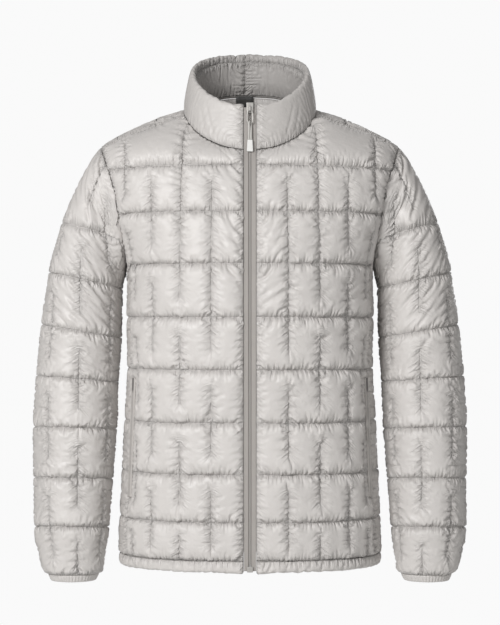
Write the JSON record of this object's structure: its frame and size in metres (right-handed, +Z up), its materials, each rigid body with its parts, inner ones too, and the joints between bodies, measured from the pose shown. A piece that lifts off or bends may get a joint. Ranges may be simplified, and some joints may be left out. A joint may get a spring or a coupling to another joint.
{
  "type": "puffer jacket",
  "caption": "Quilted puffer jacket with stand collar, full front zip, side pockets and elastic cuffs, zipped up and filled out with no wearer.",
  "frame": {"origin": "between the wearer's shoulders, at the height of the point where the shoulder meets the side of the neck, midway between front and back", "axes": "+Z up, the front faces -Y, +X towards the wearer's left"},
  "size_m": [0.6318, 0.2799, 0.7659],
  "materials": {
    "nylon": "light grey satin nylon, quilted over light filling",
    "zip_tape": "woven polyester tape with a nylon coil",
    "zip_metal": "satin zinc die casting",
    "pull_cord": "braided cord",
    "pull_tip": "moulded, fine matt texture",
    "label": "plain dark grey woven label, blank"
  },
  "bodies": {
    "root": {"front_left": "nylon", "front_right": "nylon", "side_left": "nylon", "side_right": "nylon", "back": "nylon", "shoulder_left": "nylon", "shoulder_right": "nylon", "sleeve_left": "nylon", "sleeve_right": "nylon", "cuff_left": "nylon", "cuff_right": "nylon", "collar": "nylon", "hem_band": "nylon", "zip_tape_left": "zip_tape", "zip_tape_right": "zip_tape", "zip_slider": "zip_metal", "zip_box": "zip_metal", "pocket_zip_left": "zip_tape", "pocket_zip_right": "zip_tape", "neck_label": "label"},
    "zip_pull": {"zip_pull_link": "zip_metal", "zip_pull_cord": "pull_cord", "zip_pull_tip": "pull_tip"}
  },
  "joints": [
    {"name": "zip_pull_swing", "type": "hinge", "parent": "root", "child": "zip_pull", "pos_m": [0, -0.09212, -0.0065], "axis": [-1, 0, 0], "range_deg": [0, 160]}
  ]
}
